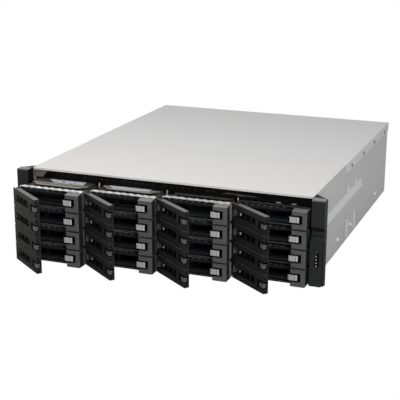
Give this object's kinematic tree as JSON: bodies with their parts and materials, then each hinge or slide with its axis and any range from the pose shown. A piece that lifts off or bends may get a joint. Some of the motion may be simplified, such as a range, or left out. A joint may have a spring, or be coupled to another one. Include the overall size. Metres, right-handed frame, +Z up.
{
  "type": "disk shelf enclosure",
  "caption": "Rack-mounted disk shelf: sheet-metal chassis with rows of pull-out drive trays, each with a swing lever and a latch button, between capped rack ears.",
  "frame": {"origin": "on the underside of the chassis, in the middle of its width, at its front edge", "axes": "+X to the right seen from the front, +Y to the back, +Z up"},
  "size_m": [0.4826, 0.6635, 0.13],
  "materials": {
    "shell_paint": "satin grey paint",
    "top_paint": "satin light grey paint",
    "cover_paint": "satin light grey paint",
    "cage_steel": "zinc plated",
    "circuit_board": "solder mask",
    "fan_plastic": "matt black",
    "controller_steel": "zinc plated",
    "ear_plastic": "matt near-black",
    "power_button_plastic": "gloss",
    "supply_case": "satin",
    "tray_plastic": "matt dark grey moulding",
    "lever_plastic": "matt dark grey moulding",
    "button_plastic": "matt mid grey"
  },
  "bodies": {
    "chassis": {"chassis_shell": "shell_paint", "front_top_panel": "top_paint", "rear_cover": "cover_paint", "drive_cage": "cage_steel", "backplane": "circuit_board", "fan_wall": "fan_plastic", "controller": "controller_steel", "left_ear": "ear_plastic", "right_ear": "ear_plastic"},
    "power_button": {"power_button": "power_button_plastic"},
    "power_supply_1": {"power_supply_1": "supply_case"},
    "power_supply_2": {"power_supply_2": "supply_case"},
    "tray_column_1_row_1": {"tray_column_1_row_1": "tray_plastic"},
    "lever_column_1_row_1": {"lever_column_1_row_1": "lever_plastic"},
    "button_column_1_row_1": {"button_column_1_row_1": "button_plastic"},
    "tray_column_1_row_2": {"tray_column_1_row_2": "tray_plastic"},
    "lever_column_1_row_2": {"lever_column_1_row_2": "lever_plastic"},
    "button_column_1_row_2": {"button_column_1_row_2": "button_plastic"},
    "tray_column_1_row_3": {"tray_column_1_row_3": "tray_plastic"},
    "lever_column_1_row_3": {"lever_column_1_row_3": "lever_plastic"},
    "button_column_1_row_3": {"button_column_1_row_3": "button_plastic"},
    "tray_column_1_row_4": {"tray_column_1_row_4": "tray_plastic"},
    "lever_column_1_row_4": {"lever_column_1_row_4": "lever_plastic"},
    "button_column_1_row_4": {"button_column_1_row_4": "button_plastic"},
    "tray_column_2_row_1": {"tray_column_2_row_1": "tray_plastic"},
    "lever_column_2_row_1": {"lever_column_2_row_1": "lever_plastic"},
    "button_column_2_row_1": {"button_column_2_row_1": "button_plastic"},
    "tray_column_2_row_2": {"tray_column_2_row_2": "tray_plastic"},
    "lever_column_2_row_2": {"lever_column_2_row_2": "lever_plastic"},
    "button_column_2_row_2": {"button_column_2_row_2": "button_plastic"},
    "tray_column_2_row_3": {"tray_column_2_row_3": "tray_plastic"},
    "lever_column_2_row_3": {"lever_column_2_row_3": "lever_plastic"},
    "button_column_2_row_3": {"button_column_2_row_3": "button_plastic"},
    "tray_column_2_row_4": {"tray_column_2_row_4": "tray_plastic"},
    "lever_column_2_row_4": {"lever_column_2_row_4": "lever_plastic"},
    "button_column_2_row_4": {"button_column_2_row_4": "button_plastic"},
    "tray_column_3_row_1": {"tray_column_3_row_1": "tray_plastic"},
    "lever_column_3_row_1": {"lever_column_3_row_1": "lever_plastic"},
    "button_column_3_row_1": {"button_column_3_row_1": "button_plastic"},
    "tray_column_3_row_2": {"tray_column_3_row_2": "tray_plastic"},
    "lever_column_3_row_2": {"lever_column_3_row_2": "lever_plastic"},
    "button_column_3_row_2": {"button_column_3_row_2": "button_plastic"},
    "tray_column_3_row_3": {"tray_column_3_row_3": "tray_plastic"},
    "lever_column_3_row_3": {"lever_column_3_row_3": "lever_plastic"},
    "button_column_3_row_3": {"button_column_3_row_3": "button_plastic"},
    "tray_column_3_row_4": {"tray_column_3_row_4": "tray_plastic"},
    "lever_column_3_row_4": {"lever_column_3_row_4": "lever_plastic"},
    "button_column_3_row_4": {"button_column_3_row_4": "button_plastic"},
    "tray_column_4_row_1": {"tray_column_4_row_1": "tray_plastic"},
    "lever_column_4_row_1": {"lever_column_4_row_1": "lever_plastic"},
    "button_column_4_row_1": {"button_column_4_row_1": "button_plastic"},
    "tray_column_4_row_2": {"tray_column_4_row_2": "tray_plastic"},
    "lever_column_4_row_2": {"lever_column_4_row_2": "lever_plastic"},
    "button_column_4_row_2": {"button_column_4_row_2": "button_plastic"},
    "tray_column_4_row_3": {"tray_column_4_row_3": "tray_plastic"},
    "lever_column_4_row_3": {"lever_column_4_row_3": "lever_plastic"},
    "button_column_4_row_3": {"button_column_4_row_3": "button_plastic"},
    "tray_column_4_row_4": {"tray_column_4_row_4": "tray_plastic"},
    "lever_column_4_row_4": {"lever_column_4_row_4": "lever_plastic"},
    "button_column_4_row_4": {"button_column_4_row_4": "button_plastic"}
  },
  "joints": [
    {"name": "power_button_press", "type": "slide", "parent": "chassis", "child": "power_button", "axis": [0, 1, 0], "range_m": [0, 0.0009], "stiffness_N_per_m": 400},
    {"name": "power_supply_1_slide", "type": "slide", "parent": "chassis", "child": "power_supply_1", "axis": [0, 1, 0], "range_m": [0, 0.196]},
    {"name": "power_supply_2_slide", "type": "slide", "parent": "chassis", "child": "power_supply_2", "axis": [0, 1, 0], "range_m": [0, 0.196]},
    {"name": "tray_column_1_row_1_slide", "type": "slide", "parent": "chassis", "child": "tray_column_1_row_1", "axis": [0, -1, 0], "range_m": [-0.0498, 0.1282]},
    {"name": "lever_column_1_row_1_hinge", "type": "hinge", "parent": "tray_column_1_row_1", "child": "lever_column_1_row_1", "pos_m": [-0.2139, -0.0583, 0.0152], "axis": [0, 0, 1], "range_deg": [-22.2, 37.8]},
    {"name": "button_column_1_row_1_press", "type": "slide", "parent": "tray_column_1_row_1", "child": "button_column_1_row_1", "axis": [1, 0, 0], "range_m": [0, 0.003], "stiffness_N_per_m": 400},
    {"name": "tray_column_1_row_2_slide", "type": "slide", "parent": "chassis", "child": "tray_column_1_row_2", "axis": [0, -1, 0], "range_m": [-0.0498, 0.1282]},
    {"name": "lever_column_1_row_2_hinge", "type": "hinge", "parent": "tray_column_1_row_2", "child": "lever_column_1_row_2", "pos_m": [-0.2139, -0.0583, 0.0435], "axis": [0, 0, 1], "range_deg": [-22.2, 37.8]},
    {"name": "button_column_1_row_2_press", "type": "slide", "parent": "tray_column_1_row_2", "child": "button_column_1_row_2", "axis": [1, 0, 0], "range_m": [0, 0.003], "stiffness_N_per_m": 400},
    {"name": "tray_column_1_row_3_slide", "type": "slide", "parent": "chassis", "child": "tray_column_1_row_3", "axis": [0, -1, 0], "range_m": [-0.0498, 0.1282]},
    {"name": "lever_column_1_row_3_hinge", "type": "hinge", "parent": "tray_column_1_row_3", "child": "lever_column_1_row_3", "pos_m": [-0.2139, -0.0583, 0.0718], "axis": [0, 0, 1], "range_deg": [-22.2, 37.8]},
    {"name": "button_column_1_row_3_press", "type": "slide", "parent": "tray_column_1_row_3", "child": "button_column_1_row_3", "axis": [1, 0, 0], "range_m": [0, 0.003], "stiffness_N_per_m": 400},
    {"name": "tray_column_1_row_4_slide", "type": "slide", "parent": "chassis", "child": "tray_column_1_row_4", "axis": [0, -1, 0], "range_m": [-0.0498, 0.1282]},
    {"name": "lever_column_1_row_4_hinge", "type": "hinge", "parent": "tray_column_1_row_4", "child": "lever_column_1_row_4", "pos_m": [-0.2139, -0.0583, 0.1001], "axis": [0, 0, 1], "range_deg": [-22.2, 37.8]},
    {"name": "button_column_1_row_4_press", "type": "slide", "parent": "tray_column_1_row_4", "child": "button_column_1_row_4", "axis": [1, 0, 0], "range_m": [0, 0.003], "stiffness_N_per_m": 400},
    {"name": "tray_column_2_row_1_slide", "type": "slide", "parent": "chassis", "child": "tray_column_2_row_1", "axis": [0, -1, 0], "range_m": [-0.0358, 0.1422]},
    {"name": "lever_column_2_row_1_hinge", "type": "hinge", "parent": "tray_column_2_row_1", "child": "lever_column_2_row_1", "pos_m": [-0.1039, -0.0443, 0.0152], "axis": [0, 0, 1], "range_deg": [-22.2, 37.8]},
    {"name": "button_column_2_row_1_press", "type": "slide", "parent": "tray_column_2_row_1", "child": "button_column_2_row_1", "axis": [1, 0, 0], "range_m": [0, 0.003], "stiffness_N_per_m": 400},
    {"name": "tray_column_2_row_2_slide", "type": "slide", "parent": "chassis", "child": "tray_column_2_row_2", "axis": [0, -1, 0], "range_m": [-0.0358, 0.1422]},
    {"name": "lever_column_2_row_2_hinge", "type": "hinge", "parent": "tray_column_2_row_2", "child": "lever_column_2_row_2", "pos_m": [-0.1039, -0.0443, 0.0435], "axis": [0, 0, 1], "range_deg": [-22.2, 37.8]},
    {"name": "button_column_2_row_2_press", "type": "slide", "parent": "tray_column_2_row_2", "child": "button_column_2_row_2", "axis": [1, 0, 0], "range_m": [0, 0.003], "stiffness_N_per_m": 400},
    {"name": "tray_column_2_row_3_slide", "type": "slide", "parent": "chassis", "child": "tray_column_2_row_3", "axis": [0, -1, 0], "range_m": [-0.0358, 0.1422]},
    {"name": "lever_column_2_row_3_hinge", "type": "hinge", "parent": "tray_column_2_row_3", "child": "lever_column_2_row_3", "pos_m": [-0.1039, -0.0443, 0.0718], "axis": [0, 0, 1], "range_deg": [-22.2, 37.8]},
    {"name": "button_column_2_row_3_press", "type": "slide", "parent": "tray_column_2_row_3", "child": "button_column_2_row_3", "axis": [1, 0, 0], "range_m": [0, 0.003], "stiffness_N_per_m": 400},
    {"name": "tray_column_2_row_4_slide", "type": "slide", "parent": "chassis", "child": "tray_column_2_row_4", "axis": [0, -1, 0], "range_m": [-0.0358, 0.1422]},
    {"name": "lever_column_2_row_4_hinge", "type": "hinge", "parent": "tray_column_2_row_4", "child": "lever_column_2_row_4", "pos_m": [-0.1039, -0.0443, 0.1001], "axis": [0, 0, 1], "range_deg": [-22.2, 37.8]},
    {"name": "button_column_2_row_4_press", "type": "slide", "parent": "tray_column_2_row_4", "child": "button_column_2_row_4", "axis": [1, 0, 0], "range_m": [0, 0.003], "stiffness_N_per_m": 400},
    {"name": "tray_column_3_row_1_slide", "type": "slide", "parent": "chassis", "child": "tray_column_3_row_1", "axis": [0, -1, 0], "range_m": [-0.0248, 0.1532]},
    {"name": "lever_column_3_row_1_hinge", "type": "hinge", "parent": "tray_column_3_row_1", "child": "lever_column_3_row_1", "pos_m": [0.0061, -0.0333, 0.0152], "axis": [0, 0, 1], "range_deg": [-22.2, 37.8]},
    {"name": "button_column_3_row_1_press", "type": "slide", "parent": "tray_column_3_row_1", "child": "button_column_3_row_1", "axis": [1, 0, 0], "range_m": [0, 0.003], "stiffness_N_per_m": 400},
    {"name": "tray_column_3_row_2_slide", "type": "slide", "parent": "chassis", "child": "tray_column_3_row_2", "axis": [0, -1, 0], "range_m": [-0.0248, 0.1532]},
    {"name": "lever_column_3_row_2_hinge", "type": "hinge", "parent": "tray_column_3_row_2", "child": "lever_column_3_row_2", "pos_m": [0.0061, -0.0333, 0.0435], "axis": [0, 0, 1], "range_deg": [-22.2, 37.8]},
    {"name": "button_column_3_row_2_press", "type": "slide", "parent": "tray_column_3_row_2", "child": "button_column_3_row_2", "axis": [1, 0, 0], "range_m": [0, 0.003], "stiffness_N_per_m": 400},
    {"name": "tray_column_3_row_3_slide", "type": "slide", "parent": "chassis", "child": "tray_column_3_row_3", "axis": [0, -1, 0], "range_m": [-0.0248, 0.1532]},
    {"name": "lever_column_3_row_3_hinge", "type": "hinge", "parent": "tray_column_3_row_3", "child": "lever_column_3_row_3", "pos_m": [0.0061, -0.0333, 0.0718], "axis": [0, 0, 1], "range_deg": [-22.2, 37.8]},
    {"name": "button_column_3_row_3_press", "type": "slide", "parent": "tray_column_3_row_3", "child": "button_column_3_row_3", "axis": [1, 0, 0], "range_m": [0, 0.003], "stiffness_N_per_m": 400},
    {"name": "tray_column_3_row_4_slide", "type": "slide", "parent": "chassis", "child": "tray_column_3_row_4", "axis": [0, -1, 0], "range_m": [-0.0248, 0.1532]},
    {"name": "lever_column_3_row_4_hinge", "type": "hinge", "parent": "tray_column_3_row_4", "child": "lever_column_3_row_4", "pos_m": [0.0061, -0.0333, 0.1001], "axis": [0, 0, 1], "range_deg": [-22.2, 37.8]},
    {"name": "button_column_3_row_4_press", "type": "slide", "parent": "tray_column_3_row_4", "child": "button_column_3_row_4", "axis": [1, 0, 0], "range_m": [0, 0.003], "stiffness_N_per_m": 400},
    {"name": "tray_column_4_row_1_slide", "type": "slide", "parent": "chassis", "child": "tray_column_4_row_1", "axis": [0, -1, 0], "range_m": [-0.0064, 0.1716]},
    {"name": "lever_column_4_row_1_hinge", "type": "hinge", "parent": "tray_column_4_row_1", "child": "lever_column_4_row_1", "pos_m": [0.1161, -0.0149, 0.0152], "axis": [0, 0, 1], "range_deg": [-22.2, 37.8]},
    {"name": "button_column_4_row_1_press", "type": "slide", "parent": "tray_column_4_row_1", "child": "button_column_4_row_1", "axis": [1, 0, 0], "range_m": [0, 0.003], "stiffness_N_per_m": 400},
    {"name": "tray_column_4_row_2_slide", "type": "slide", "parent": "chassis", "child": "tray_column_4_row_2", "axis": [0, -1, 0], "range_m": [-0.0064, 0.1716]},
    {"name": "lever_column_4_row_2_hinge", "type": "hinge", "parent": "tray_column_4_row_2", "child": "lever_column_4_row_2", "pos_m": [0.1161, -0.0149, 0.0435], "axis": [0, 0, 1], "range_deg": [-22.2, 37.8]},
    {"name": "button_column_4_row_2_press", "type": "slide", "parent": "tray_column_4_row_2", "child": "button_column_4_row_2", "axis": [1, 0, 0], "range_m": [0, 0.003], "stiffness_N_per_m": 400},
    {"name": "tray_column_4_row_3_slide", "type": "slide", "parent": "chassis", "child": "tray_column_4_row_3", "axis": [0, -1, 0], "range_m": [-0.0064, 0.1716]},
    {"name": "lever_column_4_row_3_hinge", "type": "hinge", "parent": "tray_column_4_row_3", "child": "lever_column_4_row_3", "pos_m": [0.1161, -0.0149, 0.0718], "axis": [0, 0, 1], "range_deg": [-22.2, 37.8]},
    {"name": "button_column_4_row_3_press", "type": "slide", "parent": "tray_column_4_row_3", "child": "button_column_4_row_3", "axis": [1, 0, 0], "range_m": [0, 0.003], "stiffness_N_per_m": 400},
    {"name": "tray_column_4_row_4_slide", "type": "slide", "parent": "chassis", "child": "tray_column_4_row_4", "axis": [0, -1, 0], "range_m": [-0.0064, 0.1716]},
    {"name": "lever_column_4_row_4_hinge", "type": "hinge", "parent": "tray_column_4_row_4", "child": "lever_column_4_row_4", "pos_m": [0.1161, -0.0149, 0.1001], "axis": [0, 0, 1], "range_deg": [-22.2, 37.8]},
    {"name": "button_column_4_row_4_press", "type": "slide", "parent": "tray_column_4_row_4", "child": "button_column_4_row_4", "axis": [1, 0, 0], "range_m": [0, 0.003], "stiffness_N_per_m": 400}
  ]
}
